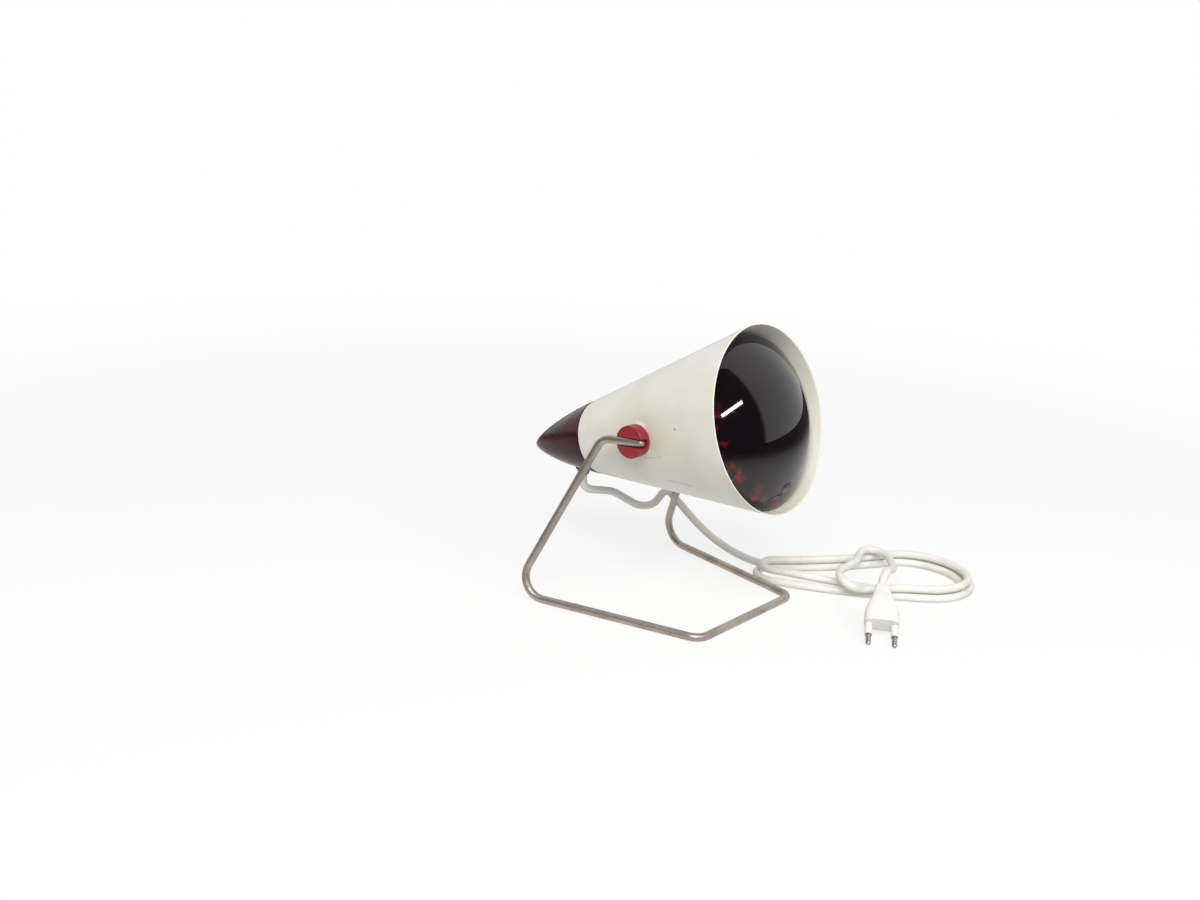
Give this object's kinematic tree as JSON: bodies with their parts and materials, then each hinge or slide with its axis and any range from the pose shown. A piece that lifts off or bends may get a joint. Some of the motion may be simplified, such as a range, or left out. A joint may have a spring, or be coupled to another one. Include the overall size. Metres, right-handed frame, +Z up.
{
  "type": "infrared heat therapy lamp",
  "caption": "Table lamp with a ruby reflector bulb in a cream cone shade that tilts between the knobs of a bent wire stand.",
  "frame": {"origin": "on the table, in the middle of the footprint of the stand, shade and cap together, without the cord", "axes": "+Z up; the lamp faces -Y and looks up at 17 degrees; X runs along the tilt axis, +X to the lamp's left"},
  "size_m": [0.308, 0.3189, 0.2193],
  "materials": {
    "cream_enamel": "cream stoved enamel on sheet aluminium, semi-gloss",
    "maroon_bakelite": "compression-moulded phenolic, dark maroon, glossy with faint streaks",
    "red_plastic": "moulded red urea plastic, satin",
    "nickel_rod": "steel rod, dull nickel plate",
    "ruby_glass": "ruby-stained blown glass, nearly black where the reflector lies behind it",
    "clear_glass": "clear glass",
    "brass": "bare brass",
    "screw_cap_aluminium": "rolled aluminium",
    "zinc_steel": "zinc-plated steel",
    "tungsten": "coiled tungsten wire",
    "porcelain": "white glazed porcelain",
    "black_glass": "black cap glass",
    "cord_pvc": "cream PVC cord sheath, satin",
    "brown_core": "brown PVC core",
    "blue_core": "blue PVC core",
    "plug_pvc": "white moulded PVC, satin",
    "bush_rubber": "grey rubber",
    "fibre": "grey vulcanised fibre"
  },
  "bodies": {
    "stand": {"stand_wire": "nickel_rod", "knob_right": "red_plastic", "knob_left": "red_plastic", "pivot_screw_right": "zinc_steel", "pivot_screw_left": "zinc_steel", "pivot_washer_right": "zinc_steel", "pivot_washer_left": "zinc_steel", "spring_washer_right": "zinc_steel", "spring_washer_left": "zinc_steel", "pivot_nut_right": "zinc_steel", "pivot_nut_left": "zinc_steel", "cord_drop": "cord_pvc", "cord_hank": "cord_pvc", "cord_tail": "cord_pvc", "plug_body": "plug_pvc", "plug_pin_right": "brass", "plug_pin_left": "brass", "plug_sleeve_right": "plug_pvc", "plug_sleeve_left": "plug_pvc"},
    "head": {"shade": "cream_enamel", "tail_cap": "maroon_bakelite", "bulb_glass": "ruby_glass", "bulb_stem": "clear_glass", "screw_shell": "brass", "centre_contact": "brass", "bulb_tip": "brass", "terminal_screw_live": "brass", "terminal_screw_neutral": "brass", "bulb_base": "screw_cap_aluminium", "holder_plate": "zinc_steel", "holder_ring_nut": "zinc_steel", "cord_clamp": "zinc_steel", "cap_screw_right": "zinc_steel", "cap_screw_left": "zinc_steel", "clamp_screw_right": "zinc_steel", "clamp_screw_left": "zinc_steel", "filament_wire_right": "zinc_steel", "filament_wire_left": "zinc_steel", "filament": "tungsten", "lampholder_body": "porcelain", "bulb_insulator": "black_glass", "cord_inner": "cord_pvc", "lead_live": "brown_core", "lead_neutral": "blue_core", "cord_bush": "bush_rubber", "pivot_bush_right": "fibre", "pivot_bush_left": "fibre"}
  },
  "joints": [
    {"name": "head_tilt", "type": "hinge", "parent": "stand", "child": "head", "pos_m": [0, -0.02114, 0.1303], "axis": [-1, 0, 0], "range_deg": [-107, 40], "deforming": ["cord_drop"]}
  ]
}
